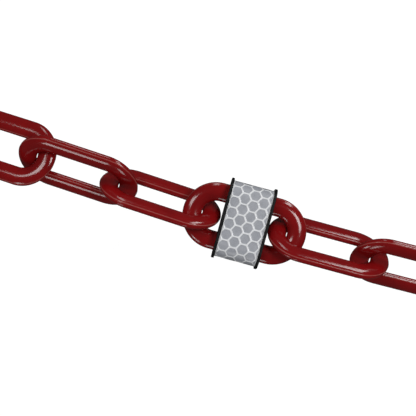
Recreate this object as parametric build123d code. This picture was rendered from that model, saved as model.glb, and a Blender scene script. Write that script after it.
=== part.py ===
from build123d import *
import math
import os

# Chain link: a flattened wire bent to an oval, moulded in one piece without a seam in the ring
LINK_LENGTH = 52.6      # over the ends
LINK_WIDTH = 28.2       # over the side rails
WIRE = 8.0              # wire thickness in the plane of the link
WIRE_DEPTH = 4.6        # wire thickness across that plane

# How the chain lies. Link d is level, along X. Angles are in degrees: heading is the turn in
# plan from X, rise the slope of the link's length, lean its roll about that length.
LINKS = ("a", "b", "c", "d", "e", "f")
HOLDER = "d"            # the link that carries the sleeve
HEADING = {"a": -2.8, "b": -3.2, "c": -3.0, "d": 0.0, "e": 0.0, "f": 0.8}
RISE = {"a": 10.6, "b": 1.8, "c": 0.0, "d": 0.0, "e": -1.5, "f": -0.5}
LEAN = {"a": -7.0, "b": 49.0, "c": -58.0, "d": 0.0, "e": -52.0, "f": 47.0}
SLACK = {"a": 0.25, "b": 0.25, "c": 0.22, "e": 0.25, "f": 0.30}    # gap left to the link nearer d
SIDESTEP = {"a": 0.0, "b": 0.0, "c": 0.0, "e": -0.15, "f": -0.40}  # sideways offset from that link

# Reflector sleeve: a clip of two leaves round link d, each covered with a reflective sheet
SLEEVE_LENGTH = 19.6    # along the chain, over both end rims
SLEEVE_WIDTH = 34.4     # across the chain, over the rims
SLEEVE_DEPTH = 13.8     # through the sleeve, over the rims
RIM = 1.2               # thickness of each end rim
RIM_STAND = 0.9         # height of the rims above the reflective sheet
RIM_ROUND = 0.25        # rounding of the rims' outer edges
SHEET = 0.4             # thickness of the reflective sheet
WALL = 1.4              # thickness of the leaves' walls
SPLIT_DROP = 3.6        # the leaves meet this far below the middle of the sleeve
SEAM = 0.05             # each leaf stops this far short of the split
RAIL_GAP_TOP = 0.15     # room over the rails of link d inside the front leaf
RAIL_GAP_SIDE = 0.35    # room beside them
SWING_ROOM = 1.9        # more room inboard of the rail by the hinge, which the leaf swings past
SWING_LEVEL = 1.2       # that room reaches this far above the middle of the rail
RIB = 1.2               # thickness of the ribs inside the front leaf
RIB_OFFSET = 3.2        # their distance from the middle of the sleeve
SADDLE = 2.0            # length of the two rests that carry the rails in the back leaf
SADDLE_WIDTH = 3.4
SADDLE_GAP = 0.1        # room between a saddle and the rail on it
LIP_LENGTH = 11.0       # locating lip inside the free edge of the back leaf
LIP_THICKNESS = 0.7
LIP_RISE = 0.7          # how far the lip stands past the split
LIP_GAP = 0.2
HINGE_LENGTH = 15.0     # flanges and web of the hinge along the +Y edge
FLANGE = 0.6            # thickness of a hinge flange
FLANGE_REACH = 2.6      # how far a flange runs back from the fold into its leaf
WEB_RADIUS = 0.25       # bead of the flexible web, centred on the fold
SHEET_MARGIN = 0.3      # how far the sheets stop short of the flanges

BEND = (LINK_WIDTH - WIRE) / 2              # radius of the wire's centreline round an end
STRAIGHT = LINK_LENGTH / 2 - LINK_WIDTH / 2 # half the length of a straight rail
TIP = STRAIGHT + BEND                       # centre of a link to its end wire


def wire_section(x, y):
    """The oval section of the wire, square to X, at a point of the link's own plane."""
    return Plane(origin=(x, y, 0), x_dir=(0, 1, 0), z_dir=(1, 0, 0)) * Ellipse(WIRE / 2, WIRE_DEPTH / 2)


def make_link():
    """One link about the origin, its length along X and its plane across Z."""
    end = revolve(wire_section(STRAIGHT, -BEND), Axis((STRAIGHT, 0, 0), (0, 0, 1)), 180)
    link = end + Rot(0, 0, 180) * end
    for side in (-BEND, BEND):
        link += extrude(wire_section(-STRAIGHT, side), 2 * STRAIGHT)
    return link


def link_axes(name):
    """Unit vectors of a link as it lies: along it, across it in its plane, and square to its plane."""
    heading, rise, lean = (math.radians(table[name]) for table in (HEADING, RISE, LEAN))
    along = Vector(math.cos(rise) * math.cos(heading), math.cos(rise) * math.sin(heading), math.sin(rise))
    level = Vector(-math.sin(heading), math.cos(heading), 0)
    upright = along.cross(level)
    across = level * math.cos(lean) + upright * math.sin(lean)
    return along, across, along.cross(across)


def lay_chain():
    """Centre of every link from link d's, worked outwards so that neighbours hook tip to tip."""
    centres = {HOLDER: Vector(0, 0, 0)}
    holder = LINKS.index(HOLDER)
    for way, run in ((-1, LINKS[:holder][::-1]), (1, LINKS[holder + 1:])):
        inner = HOLDER
        for name in run:
            along_inner, along_outer = link_axes(inner)[0], link_axes(name)[0]
            mean = (along_inner + along_outer).normalized()
            aside = Vector(0, 0, 1).cross(mean)
            tip = centres[inner] + along_inner * (way * TIP)
            back = mean * (-way * (WIRE + SLACK[name]))
            centres[name] = tip + back + aside * SIDESTEP[name] + along_outer * (way * TIP)
            inner = name
    return centres


def place_link(link, name, centre):
    """A link moved from the origin to where it lies in the chain."""
    along, across, normal = link_axes(name)
    return Plane(origin=centre, x_dir=along, z_dir=normal) * link


def oval_prism(width, depth, length):
    """A bar of rounded section about the origin: width along Y, depth along Z, length along X."""
    face = Plane(origin=(-length / 2, 0, 0), x_dir=(0, 1, 0), z_dir=(1, 0, 0)) * SlotOverall(width, depth)
    return extrude(face, length)


def band(grow_outer, grow_inner, length):
    """A hollow rounded tube between two outlines, each a distance inside the rims' outline."""
    outer = oval_prism(SLEEVE_WIDTH - 2 * grow_outer, SLEEVE_DEPTH - 2 * grow_outer, length)
    inner = oval_prism(SLEEVE_WIDTH - 2 * grow_inner, SLEEVE_DEPTH - 2 * grow_inner, length + 1)
    return outer - inner


def block(x, y, z):
    """A box given by its low and high limits along each axis."""
    size = [high - low for low, high in (x, y, z)]
    middle = [(high + low) / 2 for low, high in (x, y, z)]
    return Pos(*middle) * Box(*size)


def above(height):
    """Everything higher than a level in the sleeve's own frame."""
    return block((-30, 30), (-40, 40), (height, 30))


def below(height):
    """Everything lower than a level in the sleeve's own frame."""
    return block((-30, 30), (-40, 40), (-30, height))


def end_plates():
    """Both end rims as full plates of the outer outline."""
    middle = (SLEEVE_LENGTH - RIM) / 2
    plate = oval_prism(SLEEVE_WIDTH, SLEEVE_DEPTH, RIM)
    plate = fillet(plate.edges().filter_by(Axis.X, reverse=True), RIM_ROUND)
    return Pos(-middle, 0, 0) * plate + Pos(middle, 0, 0) * plate


def rail_slots():
    """Room for the two rails of link d, open downwards, as cut from the front leaf."""
    half_width = WIRE / 2 + RAIL_GAP_SIDE
    half_depth = WIRE_DEPTH / 2 + RAIL_GAP_TOP
    length = SLEEVE_LENGTH + 2
    cuts = []
    for side in (-BEND, BEND):
        section = Plane(origin=(-length / 2, side, 0), x_dir=(0, 1, 0), z_dir=(1, 0, 0))
        cuts.append(extrude(section * Ellipse(half_width, half_depth), length))
        cuts.append(block((-length / 2, length / 2), (side - half_width, side + half_width),
                          (-SLEEVE_DEPTH, 0)))
    cuts.append(block((-length / 2, length / 2), (BEND - half_width - SWING_ROOM, BEND),
                      (-SLEEVE_DEPTH, SWING_LEVEL)))
    return cuts


def flange(low, high):
    """One leaf's flange along the hinge, between two levels."""
    fold_y, _ = fold_line()
    reach = (fold_y - FLANGE_REACH, fold_y - WEB_RADIUS - SEAM)
    return block((-HINGE_LENGTH / 2, HINGE_LENGTH / 2), reach, (low, high))


def fold_line():
    """Y and Z of the hinge's fold: the point of the rims' outline at the split, on the +Y side."""
    radius = SLEEVE_DEPTH / 2
    y = SLEEVE_WIDTH / 2 - radius + math.sqrt(radius ** 2 - SPLIT_DROP ** 2)
    return y, -SPLIT_DROP


def make_front_leaf():
    """The deep leaf that slips over link d, with ribs that sit on the link's rails."""
    inner = RIM_STAND + SHEET + WALL
    leaf = band(RIM_STAND + SHEET, inner, SLEEVE_LENGTH - RIM) + end_plates()
    for x in (-RIB_OFFSET, RIB_OFFSET):
        rib = oval_prism(SLEEVE_WIDTH - 2 * inner + WALL, SLEEVE_DEPTH - 2 * inner + WALL, RIB)
        leaf += Pos(x, 0, 0) * rib
    for cut in rail_slots():
        leaf -= cut
    leaf &= above(-SPLIT_DROP + SEAM)
    return leaf + flange(-SPLIT_DROP + SEAM, -SPLIT_DROP + SEAM + FLANGE)


def make_back_leaf():
    """The shallow leaf behind the link, with rests for the rails and a lip along its free edge."""
    inner = RIM_STAND + SHEET + WALL
    floor = -SLEEVE_DEPTH / 2 + inner
    leaf = (band(RIM_STAND + SHEET, inner, SLEEVE_LENGTH - RIM) + end_plates()) & below(-SPLIT_DROP - SEAM)
    for side in (-BEND, BEND):
        leaf += block((-SADDLE / 2, SADDLE / 2), (side - SADDLE_WIDTH / 2, side + SADDLE_WIDTH / 2),
                      (floor - WALL / 2, -WIRE_DEPTH / 4))
        rail = oval_rail(side)
        leaf -= rail
    radius = SLEEVE_DEPTH / 2 - inner
    wall_y = -(SLEEVE_WIDTH / 2 - SLEEVE_DEPTH / 2 + math.sqrt(radius ** 2 - SPLIT_DROP ** 2)) + LIP_GAP
    leaf += block((-LIP_LENGTH / 2, LIP_LENGTH / 2), (wall_y, wall_y + LIP_THICKNESS),
                  (floor - WALL / 2, -SPLIT_DROP + LIP_RISE))
    return leaf + flange(-SPLIT_DROP - SEAM - FLANGE, -SPLIT_DROP - SEAM)


def oval_rail(side):
    """A rail of link d with a saddle's gap all round, as a cutter."""
    section = Plane(origin=(-SADDLE, side, 0), x_dir=(0, 1, 0), z_dir=(1, 0, 0))
    return extrude(section * Ellipse(WIRE / 2 + SADDLE_GAP, WIRE_DEPTH / 2 + SADDLE_GAP), 2 * SADDLE)


def make_hinge_web():
    """The flexible web: a bead on the fold and the strip that joins it to the back leaf's flange."""
    fold_y, fold_z = fold_line()
    bead = Pos(-HINGE_LENGTH / 2, fold_y, fold_z) * Rot(0, 90, 0) * Cylinder(
        WEB_RADIUS, HINGE_LENGTH, align=(Align.CENTER, Align.CENTER, Align.MIN))
    strip = block((-HINGE_LENGTH / 2, HINGE_LENGTH / 2), (fold_y - WEB_RADIUS - SEAM, fold_y),
                  (fold_z - WEB_RADIUS, fold_z - SEAM))
    return bead + strip


def make_sheet(keep):
    """A reflective sheet: the part of a thin rounded tube that a leaf carries between its rims."""
    return band(RIM_STAND, RIM_STAND + SHEET, SLEEVE_LENGTH - 2 * RIM) & keep


def make_parts():
    """Every piece of the chain by name, from the centre of link d."""
    link = make_link()
    parts = {}
    for name, centre in lay_chain().items():
        parts["link_" + name] = place_link(link, name, centre)
    margin = FLANGE + SEAM + SHEET_MARGIN
    parts["sleeve_front_leaf"] = make_front_leaf()
    parts["sleeve_back_leaf"] = make_back_leaf()
    parts["sleeve_hinge_web"] = make_hinge_web()
    parts["reflective_sheet_front"] = make_sheet(above(-SPLIT_DROP + margin))
    parts["reflective_sheet_back"] = make_sheet(below(-SPLIT_DROP - margin))
    return parts


def base_point(parts):
    """The part's origin: under the middle of the whole chain, on the surface that it lies on."""
    boxes = [shape.bounding_box() for shape in parts.values()]
    low_x, low_y, low_z = (min(getattr(box.min, axis) for box in boxes) for axis in "XYZ")
    high_x, high_y = (max(getattr(box.max, axis) for box in boxes) for axis in "XY")
    return Vector((low_x + high_x) / 2, (low_y + high_y) / 2, low_z)


pieces = make_parts()
origin = base_point(pieces)
os.makedirs("parts", exist_ok=True)
for node, shape in sorted(pieces.items()):
    placed = Pos(-origin.X, -origin.Y, -origin.Z) * shape
    export_step(placed, os.path.join("parts", node + ".step"))
    print(node, round(placed.volume, 1))
print("origin, from the centre of link d:", [round(v, 3) for v in origin])
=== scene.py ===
import math

import bmesh
import bpy
import numpy as np
from mathutils import Matrix, Vector


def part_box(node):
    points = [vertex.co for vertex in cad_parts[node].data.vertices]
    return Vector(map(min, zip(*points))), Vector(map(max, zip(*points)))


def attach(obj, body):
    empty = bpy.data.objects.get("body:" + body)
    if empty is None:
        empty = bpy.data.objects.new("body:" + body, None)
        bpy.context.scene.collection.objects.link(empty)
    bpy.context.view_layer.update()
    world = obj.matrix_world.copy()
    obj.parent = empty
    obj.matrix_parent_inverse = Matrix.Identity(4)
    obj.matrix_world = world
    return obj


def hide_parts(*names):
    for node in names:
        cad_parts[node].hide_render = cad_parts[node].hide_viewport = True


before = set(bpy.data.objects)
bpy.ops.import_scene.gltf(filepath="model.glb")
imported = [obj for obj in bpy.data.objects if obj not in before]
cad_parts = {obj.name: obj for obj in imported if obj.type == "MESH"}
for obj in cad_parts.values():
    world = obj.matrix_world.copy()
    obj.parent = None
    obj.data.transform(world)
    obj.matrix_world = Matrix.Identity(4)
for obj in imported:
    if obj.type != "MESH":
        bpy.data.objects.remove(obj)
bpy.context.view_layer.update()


# ---- Camera -------------------------------------------------------------------------------------
# It looks straight down on the surface that the chain lies on, with the chain falling to the right.
sleeve_link_low, sleeve_link_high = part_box("link_d")
sleeve_link_centre = (sleeve_link_low + sleeve_link_high) / 2

CHAIN_SLOPE = math.radians(15.2)     # the fall of the chain across the view
CAMERA_HEIGHT = 0.324                # above the middle of the link with the sleeve
FIELD_OF_VIEW = math.radians(29.93)
view_right = Vector((math.cos(CHAIN_SLOPE), math.sin(CHAIN_SLOPE), 0))
view_up = Vector((-math.sin(CHAIN_SLOPE), math.cos(CHAIN_SLOPE), 0))
aim = sleeve_link_centre - 0.0151 * view_right + 0.0064 * view_up

camera_data = bpy.data.cameras.new("camera")
camera_data.angle = FIELD_OF_VIEW
camera_data.clip_start = 0.01
camera = bpy.data.objects.new("camera", camera_data)
bpy.context.scene.collection.objects.link(camera)
camera.matrix_world = Matrix((
    (view_right.x, view_up.x, 0, aim.x),
    (view_right.y, view_up.y, 0, aim.y),
    (0, 0, 1, aim.z + CAMERA_HEIGHT),
    (0, 0, 0, 1)))
bpy.context.scene.camera = camera


# ---- Chain links --------------------------------------------------------------------------------
# Six alike oval links of flattened wire, injection moulded in deep red polyethylene, each round
# the last. The mould opened across the chain at 45 degrees to every link, so a fine raised parting
# line runs along both rails at 45 degrees and crosses to the other side round each end.
LINK_LETTERS = "abcdef"
LETTERS_OF_FIRST_HAND = "ace"        # these lean one way and have their parting line to match
LINK_LENGTH = sleeve_link_high.x - sleeve_link_low.x
LINK_WIDTH = sleeve_link_high.y - sleeve_link_low.y
WIRE_DEPTH = sleeve_link_high.z - sleeve_link_low.z
WIRE_WIDTH = 0.008
END_RADIUS = (LINK_WIDTH - WIRE_WIDTH) / 2
HALF_STRAIGHT = (LINK_LENGTH - LINK_WIDTH) / 2
PARTING_HEIGHT = 0.00008
PARTING_WIDTH = 0.00017              # half width of the ridge
RIPPLE_HEIGHT = 0.000008             # unevenness of the moulded surface
RIPPLE_SIZE = 0.007
STEPS_ALONG = 288                    # faces round the oval
STEPS_ROUND = 120                    # faces round the wire
CROWDING = 0.70                      # how strongly those crowd to the parting line, under 1
CREST_LEVEL = 0.8                    # mean height of the ridge, as a share of the greatest
CREST_WANDER = 0.8                   # how much of it comes and goes along the link
JOIN_DISTANCE = 1e-6                 # points nearer than this are one
FIRST_SEED = 3.0                     # of the ripple, with a step from link to link
SEED_STEP = 7.0
CHAIN_REDS = ((0.30, (0.215, 0.0045, 0.0055)), (0.55, (0.255, 0.0055, 0.0065)),
              (0.80, (0.285, 0.0070, 0.0080)))
SPECK_RED = (0.30, 0.03, 0.03, 1)
# painted highlight: the pale pink that the parting line is tinted with stands for the lamps' glint on its
# ridge
PARTING_HIGHLIGHT_PINK = (0.50, 0.16, 0.14, 1)
PLASTIC_IOR = 1.50


class NodeBench:
    """Adds nodes to one tree and wires them in the same call."""

    def __init__(self, tree):
        self.tree = tree

    def add(self, kind, *values, pick=0, **settings):
        node = self.tree.nodes.new(kind)
        for name, value in settings.items():
            setattr(node, name, value)
        for slot, value in enumerate(values):
            self.feed(node.inputs[slot], value)
        return node.outputs[pick]

    def feed(self, socket, value):
        if value is None:
            return
        if isinstance(value, bpy.types.NodeSocket):
            self.tree.links.new(value, socket)
        else:
            socket.default_value = value

    def math(self, operation, *values):
        return self.add("ShaderNodeMath", *values, operation=operation)

    def vector(self, operation, *values):
        return self.add("ShaderNodeVectorMath", *values, operation=operation)

    def scaled(self, vector, factor):
        node = self.tree.nodes.new("ShaderNodeVectorMath")
        node.operation = "SCALE"
        self.feed(node.inputs[0], vector)
        self.feed(node.inputs["Scale"], factor)
        return node.outputs[0]


def new_geometry_tree(name, inputs):
    """An empty geometry node group with named number inputs; returns it, its bench and the inputs."""
    tree = bpy.data.node_groups.new(name, "GeometryNodeTree")
    tree.interface.new_socket("Geometry", in_out="OUTPUT", socket_type="NodeSocketGeometry")
    for label, kind in inputs:
        tree.interface.new_socket(label, in_out="INPUT", socket_type=kind)
    source = tree.nodes.new("NodeGroupInput")
    return tree, NodeBench(tree), {label: source.outputs[label] for label, _ in inputs}


def finish_geometry_tree(bench, geometry, material):
    realised = bench.add("GeometryNodeRealizeInstances", geometry)
    painted = bench.add("GeometryNodeSetMaterial", realised)
    painted.node.inputs["Material"].default_value = material
    sink = bench.tree.nodes.new("NodeGroupOutput")
    bench.tree.links.new(painted, sink.inputs[0])


def grown_mesh(name, tree, values):
    """The plain mesh that a geometry tree makes from these input values."""
    holder = bpy.data.objects.new(name, bpy.data.meshes.new(name))
    bpy.context.scene.collection.objects.link(holder)
    modifier = holder.modifiers.new("grow", "NODES")
    modifier.node_group = tree
    for item in tree.interface.items_tree:
        if item.in_out == "INPUT" and item.name in values:
            modifier[item.identifier] = values[item.name]
    bpy.context.view_layer.update()
    evaluated = holder.evaluated_get(bpy.context.evaluated_depsgraph_get())
    mesh = bpy.data.meshes.new_from_object(evaluated)
    bpy.data.objects.remove(holder)
    mesh.name = name
    return mesh


def make_link_tree(material):
    """A sheet of faces rolled round an oval into its wire, with the parting line's ridge on it."""
    tree, bench, size = new_geometry_tree("moulded link", (
        ("Half straight", "NodeSocketFloat"), ("End radius", "NodeSocketFloat"),
        ("Wire half width", "NodeSocketFloat"), ("Wire half depth", "NodeSocketFloat"),
        ("Hand", "NodeSocketFloat"), ("Parting height", "NodeSocketFloat"),
        ("Parting width", "NodeSocketFloat"), ("Crest level", "NodeSocketFloat"),
        ("Crest wander", "NodeSocketFloat"), ("Ripple height", "NodeSocketFloat"),
        ("Ripple size", "NodeSocketFloat"), ("Seed", "NodeSocketFloat"),
        ("Steps along", "NodeSocketInt"), ("Steps round", "NodeSocketInt")))
    # the oval: a circle pulled apart into two half circles
    circle = bench.add("GeometryNodeCurvePrimitiveCircle", size["Steps along"])
    bench.feed(circle.node.inputs["Radius"], size["End radius"])
    place = bench.add("GeometryNodeInputPosition")
    sign = bench.math("SIGN", bench.add("ShaderNodeSeparateXYZ", place, pick=0))
    shift = bench.add("ShaderNodeCombineXYZ", bench.math("MULTIPLY", sign, size["Half straight"]))
    oval = bench.add("GeometryNodeSetPosition", circle)
    bench.feed(oval.node.inputs["Offset"], shift)

    # a sheet of faces, rolled up along and round the wire
    sheet = bench.add("GeometryNodeMeshGrid", 1.0, 1.0, bench.math("ADD", size["Steps along"], 1.0),
                      bench.math("ADD", size["Steps round"], 1.0))
    flat = bench.add("GeometryNodeInputPosition")
    flat_x = bench.add("ShaderNodeSeparateXYZ", flat, pick=0)
    flat_y = bench.add("ShaderNodeSeparateXYZ", flat, pick=1)
    along = bench.math("ADD", flat_x, 0.5)
    turn = bench.math("MULTIPLY", bench.math("ADD", flat_y, 0.5), math.tau)
    sample = bench.tree.nodes.new("GeometryNodeSampleCurve")
    sample.mode = "FACTOR"
    bench.feed(sample.inputs["Curves"], oval)
    bench.feed(sample.inputs["Factor"], along)
    centre_line = sample.outputs["Position"]
    sideways = bench.vector("CROSS_PRODUCT", sample.outputs["Tangent"], (0, 0, 1))
    outward = bench.vector("NORMALIZE", sideways)
    outward_y = bench.add("ShaderNodeSeparateXYZ", outward, pick=1)

    # the parting line's place round the wire, and how far each point is from it
    flatness = bench.math("DIVIDE", size["Wire half depth"], size["Wire half width"])
    lean = bench.math("MULTIPLY", bench.math("MULTIPLY", outward_y, size["Hand"]), -1.0)
    parting = bench.math("ARCTANGENT", bench.math("MULTIPLY", lean, flatness))
    crowd = bench.math("MULTIPLY", bench.math("SINE", bench.math("MULTIPLY", turn, 2.0)), CROWDING / 2)
    from_parting = bench.math("SUBTRACT", turn, crowd)
    angle = bench.math("ADD", parting, from_parting)
    cosine = bench.math("COSINE", angle)
    sine = bench.math("SINE", angle)
    wide = bench.math("MULTIPLY", size["Wire half width"], cosine)
    deep = bench.math("MULTIPLY", size["Wire half depth"], sine)
    spread_wide = bench.math("MULTIPLY", size["Wire half width"], bench.math("SINE", parting))
    spread_deep = bench.math("MULTIPLY", size["Wire half depth"], bench.math("COSINE", parting))
    spread = bench.math("SQRT", bench.math(
        "ADD", bench.math("POWER", spread_wide, 2.0), bench.math("POWER", spread_deep, 2.0)))
    reach = bench.math("MULTIPLY", bench.math("ABSOLUTE", bench.math("SINE", from_parting)), spread)
    fall = bench.math("POWER", bench.math("DIVIDE", reach, size["Parting width"]), 2.0)
    ridge = bench.math("EXPONENT", bench.math("MULTIPLY", fall, -1.0))

    # the surface: the oval section, the ridge on it, and the slight ripple of moulded plastic
    surface = bench.vector("ADD", centre_line, bench.vector(
        "ADD", bench.scaled(outward, wide), bench.add("ShaderNodeCombineXYZ", 0.0, 0.0, deep)))
    normal = bench.vector("NORMALIZE", bench.vector(
        "ADD", bench.scaled(outward, bench.math("DIVIDE", cosine, size["Wire half width"])),
        bench.add("ShaderNodeCombineXYZ", 0.0, 0.0, bench.math("DIVIDE", sine, size["Wire half depth"]))))
    wander = bench.add("ShaderNodeTexNoise", noise_dimensions="4D")
    bench.feed(wander.node.inputs["Vector"], surface)
    bench.feed(wander.node.inputs["W"], size["Seed"])
    bench.feed(wander.node.inputs["Scale"], bench.math("DIVIDE", 1.0, size["Ripple size"]))
    bench.feed(wander.node.inputs["Detail"], 1.0)
    level = bench.math("SUBTRACT", wander, 0.5)
    ripple = bench.math("MULTIPLY", level, size["Ripple height"])
    crest = bench.math("MULTIPLY", ridge, bench.math(
        "ADD", bench.math("MULTIPLY", level, size["Crest wander"]), size["Crest level"]))
    rise = bench.math("ADD", ripple, bench.math("MULTIPLY", crest, size["Parting height"]))
    marked = bench.add("GeometryNodeStoreNamedAttribute", sheet, data_type="FLOAT", domain="POINT")
    bench.feed(marked.node.inputs["Name"], "parting")
    bench.feed(marked.node.inputs["Value"], ridge)
    rolled = bench.add("GeometryNodeSetPosition", marked)
    bench.feed(rolled.node.inputs["Position"], bench.vector("ADD", surface, bench.scaled(normal, rise)))
    closed = bench.add("GeometryNodeMergeByDistance", rolled)
    bench.feed(closed.node.inputs["Distance"], JOIN_DISTANCE)
    smooth = bench.add("GeometryNodeSetShadeSmooth", closed)
    finish_geometry_tree(bench, smooth, material)
    return tree


def new_material(name):
    material = bpy.data.materials.new(name)
    material.use_nodes = True
    tree = material.node_tree
    bench = NodeBench(tree)
    return material, bench, tree.nodes["Principled BSDF"]


def noise(bench, coordinates, scale, detail, roughness=0.5):
    texture = bench.add("ShaderNodeTexNoise", noise_dimensions="3D")
    bench.feed(texture.node.inputs["Vector"], coordinates)
    bench.feed(texture.node.inputs["Scale"], scale)
    bench.feed(texture.node.inputs["Detail"], detail)
    bench.feed(texture.node.inputs["Roughness"], roughness)
    return texture


def ramp(bench, factor, stops):
    """A colour ramp from (place, colour) stops."""
    node = bench.tree.nodes.new("ShaderNodeValToRGB")
    while len(node.color_ramp.elements) < len(stops):
        node.color_ramp.elements.new(0.5)
    for element, (place, colour) in zip(node.color_ramp.elements, stops):
        element.position = place
        element.color = (*colour, 1)
    bench.feed(node.inputs["Fac"], factor)
    return node.outputs["Color"]


def mixed(bench, factor, first, second, blend="MIX"):
    node = bench.tree.nodes.new("ShaderNodeMix")
    node.data_type = "RGBA"
    node.blend_type = blend
    bench.feed(node.inputs["Factor"], factor)
    bench.feed(node.inputs["A"], first)
    bench.feed(node.inputs["B"], second)
    return node.outputs["Result"]


def bumped(bench, height, distance, strength=1.0, under=None):
    node = bench.tree.nodes.new("ShaderNodeBump")
    bench.feed(node.inputs["Height"], height)
    bench.feed(node.inputs["Distance"], distance)
    bench.feed(node.inputs["Strength"], strength)
    bench.feed(node.inputs["Normal"], under)
    return node.outputs["Normal"]


def make_chain_plastic():
    """Deep red gloss polyethylene: cloudy pigment, fine scuffs, and a duller parting line painted pale pink
    as a highlight.
    """
    material, bench, shader = new_material("chain plastic")
    where = bench.tree.nodes.new("ShaderNodeTexCoord").outputs["Object"]
    cloud = noise(bench, where, 90, 3)
    red = ramp(bench, cloud, CHAIN_REDS)
    speck = ramp(bench, noise(bench, where, 2600, 2), ((0.66, (0, 0, 0)), (0.74, (1, 1, 1))))
    red = mixed(bench, bench.math("MULTIPLY", speck, 0.05), red, SPECK_RED)
    line = bench.tree.nodes.new("ShaderNodeAttribute")
    line.attribute_name = "parting"
    parting = line.outputs["Fac"]
    # painted highlight: the parting line is tinted pale pink to stand for light glinting along its ridge
    red = mixed(bench, bench.math("MULTIPLY", parting, 0.55), red, PARTING_HIGHLIGHT_PINK)
    bench.feed(shader.inputs["Base Color"], red)
    scuffs = noise(bench, where, 420, 5, 0.65)
    dull = bench.add("ShaderNodeMapRange", scuffs, 0.35, 0.75, 0.115, 0.155)
    bench.feed(shader.inputs["Roughness"], bench.math("ADD", dull, bench.math("MULTIPLY", parting, 0.10)))
    skin = bumped(bench, noise(bench, where, 1500, 3), 0.000005, 0.3)
    skin = bumped(bench, noise(bench, where, 240, 2), 0.00002, 0.25, skin)
    bench.feed(shader.inputs["Normal"], skin)
    shader.inputs["IOR"].default_value = PLASTIC_IOR
    return material


chain_plastic = make_chain_plastic()
link_tree = make_link_tree(chain_plastic)


def resting_place(node):
    """Where a link lies: the symmetry axes and the centre of its CAD node's surface."""
    mesh = node.data
    mesh.calc_loop_triangles()
    points = np.empty(len(mesh.vertices) * 3)
    mesh.vertices.foreach_get("co", points)
    points = points.reshape(-1, 3)
    corners = np.empty(len(mesh.loop_triangles) * 3, int)
    mesh.loop_triangles.foreach_get("vertices", corners)
    first, second, third = points[corners.reshape(-1, 3)].transpose(1, 0, 2)
    area = np.linalg.norm(np.cross(second - first, third - first), axis=1) / 2
    middle = (first + second + third) / 3
    centre = (middle * area[:, None]).sum(0) / area.sum()
    spread = ((middle - centre).T * area) @ (middle - centre)
    _, axes = np.linalg.eigh(spread)
    normal, across, along = Vector(axes[:, 0]), Vector(axes[:, 1]), Vector(axes[:, 2])
    along *= math.copysign(1, along.x)
    normal *= math.copysign(1, normal.z)
    across = normal.cross(along)
    turn = Matrix((along, across, normal)).transposed().to_4x4()
    return Matrix.Translation(Vector(centre)) @ turn


for index, letter in enumerate(LINK_LETTERS):
    hand = 1.0 if letter in LETTERS_OF_FIRST_HAND else -1.0
    mesh = grown_mesh("moulded_link_" + letter, link_tree, {
        "Half straight": HALF_STRAIGHT, "End radius": END_RADIUS,
        "Wire half width": WIRE_WIDTH / 2 - PARTING_HEIGHT,      # the ridge fills the rest
        "Wire half depth": WIRE_DEPTH / 2 - PARTING_HEIGHT, "Hand": hand,
        "Parting height": PARTING_HEIGHT, "Parting width": PARTING_WIDTH,
        "Crest level": CREST_LEVEL, "Crest wander": CREST_WANDER, "Ripple height": RIPPLE_HEIGHT,
        "Ripple size": RIPPLE_SIZE, "Seed": FIRST_SEED + SEED_STEP * index,
        "Steps along": STEPS_ALONG, "Steps round": STEPS_ROUND})
    mesh.transform(resting_place(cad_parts["link_" + letter]))
    link = bpy.data.objects.new("moulded_link_" + letter, mesh)
    bpy.context.scene.collection.objects.link(link)
    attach(link, "holder" if letter == "d" else "link_" + letter)
    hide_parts("link_" + letter)


# ---- Sleeve leaves and hinge web ----------------------------------------------------------------
# A clip of two leaves, moulded in satin black polypropylene with a thin web between them that
# bends as the hinge. Raised rims at both ends keep the reflective sheets from being scuffed.
SLEEVE_BLACKS = ((0.3, (0.0025, 0.0025, 0.0028)), (0.7, (0.0050, 0.0050, 0.0055)))
RUBBED_BLACK = (0.014, 0.014, 0.015, 1)


def make_sleeve_plastic():
    """Satin black with a fine grain, a little greyer where it is rubbed."""
    material, bench, shader = new_material("sleeve plastic")
    where = bench.tree.nodes.new("ShaderNodeTexCoord").outputs["Object"]
    cloud = noise(bench, where, 160, 4)
    black = ramp(bench, cloud, SLEEVE_BLACKS)
    rubbed = ramp(bench, noise(bench, where, 900, 4, 0.7), ((0.60, (0, 0, 0)), (0.72, (1, 1, 1))))
    bench.feed(shader.inputs["Base Color"],
               mixed(bench, bench.math("MULTIPLY", rubbed, 0.3), black, RUBBED_BLACK))
    grain = noise(bench, where, 3200, 2)
    bench.feed(shader.inputs["Roughness"], bench.add("ShaderNodeMapRange", grain, 0.3, 0.7, 0.46, 0.60))
    bench.feed(shader.inputs["Normal"], bumped(bench, grain, 0.00002, 0.5))
    shader.inputs["Specular IOR Level"].default_value = 0.25
    return material


sleeve_plastic = make_sleeve_plastic()
for name in ("sleeve_front_leaf", "sleeve_back_leaf", "sleeve_hinge_web"):
    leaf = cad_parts[name]
    leaf.data.materials.clear()
    leaf.data.materials.append(sleeve_plastic)


# ---- Reflective sheets --------------------------------------------------------------------------
# Grey-white encapsulated sheeting on both leaves. A clear face film is sealed to the reflecting
# layer along a honeycomb of fine raised whitish lines, and the cells between look blue-grey.
front_low, front_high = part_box("reflective_sheet_front")
back_low, back_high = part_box("reflective_sheet_back")
SHEET_THICKNESS = 0.0004
CELL_PITCH = 0.00457                 # between the flats of neighbouring cells, across the chain
SEAL_WIDTH = 0.00056                 # of the raised line between two cells
SEAL_HEIGHT = 0.00007
CELL_ROUND = 0.30                    # how far a cell's outline goes from a hexagon to a circle
SKEW = math.radians(1.0)             # the sheet was stuck on slightly askew
EDGE_SEAL = 0.00035                  # flat pressed strip along the sheet's cut edges
EDGE_LIP = 1.2 * SEAL_HEIGHT         # slope between that strip and the cells
CELL_RINGS = 7                       # rings of points from a cell's centre to its hexagon
CELL_STEPS = 24                      # points round each
CELL_FILLET = 1.3                    # a cell's side slopes over this many seal heights
CREASE = math.radians(50)            # edges sharper than this stay sharp
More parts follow.
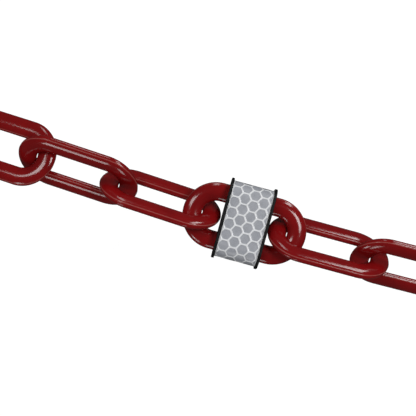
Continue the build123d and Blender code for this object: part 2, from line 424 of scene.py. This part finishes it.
CUT_JOIN_DISTANCE = 2e-6
FRONT_FIRST_CELL = (-0.00243, 0.00066)       # centre of one cell from the sheet's middle
BACK_FIRST_CELL = (-0.00160, 0.00120)
CELL_GREYS = ((0.3, (0.430, 0.445, 0.490)), (0.7, (0.500, 0.515, 0.560)))
GRIT_SHADES = ((0.35, (0.80, 0.80, 0.80)), (0.75, (1.12, 1.12, 1.12)))
SEAL_WHITES = ((0.3, (0.88, 0.90, 0.92)), (0.7, (0.95, 0.96, 0.98)))


def make_honeycomb_tree(material):
    """A flat honeycomb in X and Y: each cell's floor lies below the sealed line round it."""
    tree, bench, size = new_geometry_tree("honeycomb", (
        ("Pitch", "NodeSocketFloat"), ("Seal width", "NodeSocketFloat"), ("Seal height", "NodeSocketFloat"),
        ("Rounding", "NodeSocketFloat"), ("Columns", "NodeSocketInt"), ("Rows", "NodeSocketInt"),
        ("Rings", "NodeSocketInt"), ("Steps", "NodeSocketInt")))
    # one cell: a disc of rings whose outermost is the hexagon
    disc = bench.add("GeometryNodeMeshGrid", 1.0, 1.0, bench.math("ADD", size["Rings"], 1.0),
                     bench.math("ADD", size["Steps"], 1.0))
    flat = bench.add("GeometryNodeInputPosition")
    flat_x = bench.add("ShaderNodeSeparateXYZ", flat, pick=0)
    flat_y = bench.add("ShaderNodeSeparateXYZ", flat, pick=1)
    ring = bench.math("MULTIPLY", bench.math("ADD", flat_x, 0.5), size["Rings"])
    turn = bench.math("MULTIPLY", bench.math("ADD", flat_y, 0.5), math.tau)
    sector = math.pi / 3
    from_flat = bench.math("SUBTRACT", bench.math("FLOORED_MODULO", turn, sector), sector / 2)
    hexagon = bench.math("DIVIDE", 1.0, bench.math("COSINE", from_flat))
    rounded = bench.math("ADD", hexagon, bench.math(
        "MULTIPLY", bench.math("SUBTRACT", 1.05, hexagon), size["Rounding"]))
    outer = bench.math("MULTIPLY", bench.math("MULTIPLY", size["Pitch"], 0.5), hexagon)
    inner = bench.math("MULTIPLY", bench.math(
        "MULTIPLY", bench.math("SUBTRACT", size["Pitch"], size["Seal width"]), 0.5), rounded)
    # the last ring is the hexagon, the one before it the seal's edge, and the next the cell's floor
    last = bench.math("SUBTRACT", size["Rings"], 0.5)
    edge = bench.math("SUBTRACT", size["Rings"], 1.5)
    shelf = bench.math("SUBTRACT", size["Rings"], 2.0)
    on_hexagon = bench.math("GREATER_THAN", ring, last)
    on_edge = bench.math("GREATER_THAN", ring, edge)
    floor_share = bench.math("MINIMUM", bench.math("DIVIDE", ring, shelf), 1.0)
    floor_reach = bench.math("MULTIPLY", bench.math("SUBTRACT", inner, bench.math(
        "MULTIPLY", size["Seal height"], CELL_FILLET)), floor_share)
    reach = bench.math("ADD", floor_reach, bench.math(
        "MULTIPLY", on_edge, bench.math("SUBTRACT", inner, floor_reach)))
    reach = bench.math("ADD", reach, bench.math(
        "MULTIPLY", on_hexagon, bench.math("SUBTRACT", outer, reach)))
    height = bench.math("MULTIPLY", bench.math("SUBTRACT", on_edge, 1.0), size["Seal height"])
    cell = bench.add("GeometryNodeSetPosition", disc)
    bench.feed(cell.node.inputs["Position"], bench.add(
        "ShaderNodeCombineXYZ", bench.math("MULTIPLY", reach, bench.math("COSINE", turn)),
        bench.math("MULTIPLY", reach, bench.math("SINE", turn)), height))

    # a lattice of centres, odd columns half a pitch along
    column_gap = bench.math("MULTIPLY", size["Pitch"], math.cos(sector / 2))
    lattice = bench.add("GeometryNodeMeshGrid",
                        bench.math("MULTIPLY", bench.math("SUBTRACT", size["Columns"], 1.0), column_gap),
                        bench.math("MULTIPLY", bench.math("SUBTRACT", size["Rows"], 1.0), size["Pitch"]),
                        size["Columns"], size["Rows"])
    number = bench.add("GeometryNodeInputIndex")
    odd = bench.math("FLOORED_MODULO", bench.math("FLOOR", bench.math("DIVIDE", number, size["Rows"])), 2.0)
    step = bench.math("MULTIPLY", odd, bench.math("MULTIPLY", size["Pitch"], 0.5))
    centres = bench.add("GeometryNodeSetPosition", lattice)
    bench.feed(centres.node.inputs["Offset"], bench.add("ShaderNodeCombineXYZ", 0.0, step, 0.0))
    # a cell on every centre, joined to its neighbours
    cells = bench.add("GeometryNodeInstanceOnPoints", centres)
    bench.feed(cells.node.inputs["Instance"], cell)
    realised = bench.add("GeometryNodeRealizeInstances", cells)
    joined = bench.add("GeometryNodeMergeByDistance", realised)
    bench.feed(joined.node.inputs["Distance"], CUT_JOIN_DISTANCE)
    smooth = bench.add("GeometryNodeSetShadeSmooth", joined)
    finish_geometry_tree(bench, smooth, material)
    return tree


def make_reflective_sheeting():
    """Blue-grey beaded cells under a clear face film, with whitish sealed lines."""
    material, bench, shader = new_material("reflective sheeting")
    where = bench.tree.nodes.new("ShaderNodeTexCoord").outputs["Object"]
    beads = bench.add("ShaderNodeTexVoronoi", feature="F1")
    bench.feed(beads.node.inputs["Vector"], where)
    bench.feed(beads.node.inputs["Scale"], 5200.0)
    cloud = noise(bench, where, 260, 3)
    grey = ramp(bench, cloud, CELL_GREYS)
    grit = ramp(bench, noise(bench, where, 3600, 3, 0.7), GRIT_SHADES)
    cell = mixed(bench, 1.0, grey, grit, "MULTIPLY")
    seal_white = ramp(bench, noise(bench, where, 700, 3), SEAL_WHITES)
    line = bench.tree.nodes.new("ShaderNodeAttribute")
    line.attribute_name = "seal"
    bench.feed(shader.inputs["Base Color"], mixed(bench, line.outputs["Fac"], cell, seal_white))
    scuffs = bench.add("ShaderNodeMapRange", noise(bench, where, 1100, 4, 0.65), 0.3, 0.75, 0.30, 0.46)
    bench.feed(shader.inputs["Roughness"], scuffs)
    bench.feed(shader.inputs["Normal"], bumped(bench, beads.node.outputs["Distance"], 0.000006, 0.4))
    shader.inputs["Coat Weight"].default_value = 0.35
    shader.inputs["Coat Roughness"].default_value = 0.16
    return material


reflective_sheeting = make_reflective_sheeting()
honeycomb_tree = make_honeycomb_tree(reflective_sheeting)
bend_radius = front_high.z - sleeve_link_centre.z
half_flat = (front_high.y - front_low.y) / 2 - bend_radius


def cut_honeycomb(half_width, half_length, first_cell):
    """The flat honeycomb cut to a sheet's outline, with its pressed edge strip, as a closed slab."""
    columns = 2 * math.ceil(half_width / CELL_PITCH) + 3
    rows = 2 * math.ceil(half_length / CELL_PITCH) + 5
    mesh = grown_mesh("honeycomb", honeycomb_tree, {
        "Pitch": CELL_PITCH, "Seal width": SEAL_WIDTH, "Seal height": SEAL_HEIGHT,
        "Rounding": CELL_ROUND, "Columns": columns, "Rows": rows, "Rings": CELL_RINGS, "Steps": CELL_STEPS})
    column_gap = CELL_PITCH * math.cos(math.pi / 6)
    corner = Vector((-(columns - 1) / 2 * column_gap, -(rows - 1) / 2 * CELL_PITCH, 0))
    mesh.transform(Matrix.Translation(-corner - Vector((2 * column_gap, (rows // 2) * CELL_PITCH, 0))))
    mesh.transform(Matrix.Translation((*first_cell, 0)) @ Matrix.Rotation(SKEW, 4, "Z"))
    slab = bmesh.new()
    slab.from_mesh(mesh)
    bpy.data.meshes.remove(mesh)
    for inset in (EDGE_SEAL + EDGE_LIP, EDGE_SEAL, 0):
        for way in (Vector((1, 0, 0)), Vector((-1, 0, 0)), Vector((0, 1, 0)), Vector((0, -1, 0))):
            reach = (half_width if way.x else half_length) - inset
            bmesh.ops.bisect_plane(slab, geom=slab.verts[:] + slab.edges[:] + slab.faces[:],
                                   plane_co=way * reach, plane_no=way, clear_outer=inset == 0)
    for vertex in slab.verts:
        beyond = max(abs(vertex.co.x) - half_width, abs(vertex.co.y) - half_length) + EDGE_SEAL
        if beyond > -1e-7:
            vertex.co.z = 0
    bmesh.ops.remove_doubles(slab, verts=slab.verts, dist=CUT_JOIN_DISTANCE)
    top = slab.faces[:]
    raised = bmesh.ops.extrude_face_region(slab, geom=top, use_keep_orig=True)
    new_points = {item for item in raised["geom"] if isinstance(item, bmesh.types.BMVert)}
    for vertex in slab.verts:
        if vertex not in new_points:
            vertex.co.z = -SHEET_THICKNESS
    bmesh.ops.recalc_face_normals(slab, faces=slab.faces)
    return slab


def wrapped(point, facing):
    """A point of the flat sheet, X along the chain and Y round the sleeve, laid on the sleeve."""
    past = abs(point.y) - half_flat
    lift = bend_radius + point.z
    if past <= 0:
        y, z = point.y, lift
    else:
        y = math.copysign(half_flat + lift * math.sin(past / bend_radius), point.y)
        z = lift * math.cos(past / bend_radius)
    return sleeve_link_centre + Vector((point.x, y * facing, z * facing))


def make_sheet(name, node, body, facing, angle_past, first_cell):
    """One finished sheet; angle_past is how far round the sleeve's edge it goes."""
    low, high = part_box(node)
    slab = cut_honeycomb((high.x - low.x) / 2, half_flat + bend_radius * angle_past, first_cell)
    seal = slab.verts.layers.float.new("seal")
    for vertex in slab.verts:
        vertex[seal] = max(0.0, 1 + vertex.co.z / SEAL_HEIGHT)
        vertex.co = wrapped(vertex.co, facing)
    for face in slab.faces:
        face.smooth = True
    for edge in slab.edges:
        edge.smooth = edge.calc_face_angle(0) < CREASE
    mesh = bpy.data.meshes.new(name)
    slab.to_mesh(mesh)
    slab.free()
    mesh.materials.append(reflective_sheeting)
    sheet = bpy.data.objects.new(name, mesh)
    bpy.context.scene.collection.objects.link(sheet)
    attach(sheet, body)
    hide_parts(node)


front_past = math.pi / 2 + math.asin((sleeve_link_centre.z - front_low.z) / bend_radius)
back_past = math.acos((sleeve_link_centre.z - back_high.z) / bend_radius)
make_sheet("honeycomb_sheet_front", "reflective_sheet_front", "front_leaf", 1, front_past, FRONT_FIRST_CELL)
make_sheet("honeycomb_sheet_back", "reflective_sheet_back", "holder", -1, back_past, BACK_FIRST_CELL)


# ---- Floor and light ----------------------------------------------------------------------------
# A plain pale floor that curves up into a wall all round and glows a little, as a light table does.
# The taut chain is held above it, so links that swing down clear it. Soft lamps stand all round.
FLOOR_DROP = 0.12                    # from the lowest links to the floor
FLOOR_OUTLINE = ((2.4, 0), (2.7, 0.05), (2.9, 0.2), (3.0, 0.5), (3.0, 3.0))      # radius and height
FLOOR_SIDES = 96
FLOOR_SHADE = (0.32, 0.32, 0.32, 1)
FLOOR_GLOW = 0.86
LAMP_DISTANCE = 0.9
ROOM_SHADE = (0.06, 0.06, 0.06, 1)


def make_floor():
    """It doesn't show in the gloss of the chain, and throws no light up on it."""
    material = bpy.data.materials.new("pale floor")
    material.use_nodes = True
    shader = material.node_tree.nodes["Principled BSDF"]
    shader.inputs["Base Color"].default_value = FLOOR_SHADE
    shader.inputs["Specular IOR Level"].default_value = 0.0
    shader.inputs["Roughness"].default_value = 1.0
    shader.inputs["Emission Color"].default_value = (1, 1, 1, 1)
    shader.inputs["Emission Strength"].default_value = FLOOR_GLOW
    turns = [math.tau * side / FLOOR_SIDES for side in range(FLOOR_SIDES)]
    corners = [(reach * math.cos(turn), reach * math.sin(turn), rise - FLOOR_DROP)
               for reach, rise in FLOOR_OUTLINE for turn in turns]
    faces = [tuple(range(FLOOR_SIDES))]
    for ring in range(len(FLOOR_OUTLINE) - 1):
        for side in range(FLOOR_SIDES):
            first, second = (ring * FLOOR_SIDES + step % FLOOR_SIDES for step in (side, side + 1))
            faces.append((second, first, first + FLOOR_SIDES, second + FLOOR_SIDES))
    mesh = bpy.data.meshes.new("floor")
    mesh.from_pydata(corners, [], faces)
    mesh.materials.append(material)
    floor = bpy.data.objects.new("floor", mesh)
    bpy.context.scene.collection.objects.link(floor)
    floor.visible_glossy = False
    floor.visible_diffuse = False
    floor.visible_shadow = False


def lamp(name, lean, bearing, size, brightness):
    """A soft lamp aimed at the sleeve: lean from overhead and bearing from X, both in degrees.

    Its brightness is the same whatever its size, so a larger lamp gives more light.
    """
    data = bpy.data.lights.new(name, "AREA")
    data.shape = "RECTANGLE"
    data.size, data.size_y = size
    data.energy = brightness * math.pi * size[0] * size[1]
    light = bpy.data.objects.new(name, data)
    bpy.context.scene.collection.objects.link(light)
    lean, bearing = math.radians(lean), math.radians(bearing)
    way = Vector((math.sin(lean) * math.cos(bearing), math.sin(lean) * math.sin(bearing), math.cos(lean)))
    light.location = sleeve_link_centre + way * LAMP_DISTANCE
    light.rotation_euler = way.to_track_quat("Z", "Y").to_euler()


make_floor()
lamp("lamp_right", 29, 30, (0.28, 0.28), 11)
lamp("lamp_left", 30, 163, (0.16, 0.36), 8)
lamp("lamp_back_right", 64, 68, (0.16, 0.42), 9)
lamp("lamp_back_left", 66, 104, (0.14, 0.34), 5)
lamp("lamp_front_left", 63, 244, (0.24, 0.24), 6)
lamp("lamp_front", 65, 272, (0.16, 0.26), 4.5)
room = bpy.data.worlds.new("room")
bpy.context.scene.world = room
room.use_nodes = True
room.node_tree.nodes["Background"].inputs["Color"].default_value = ROOM_SHADE
bpy.context.scene.view_settings.view_transform = "Standard"
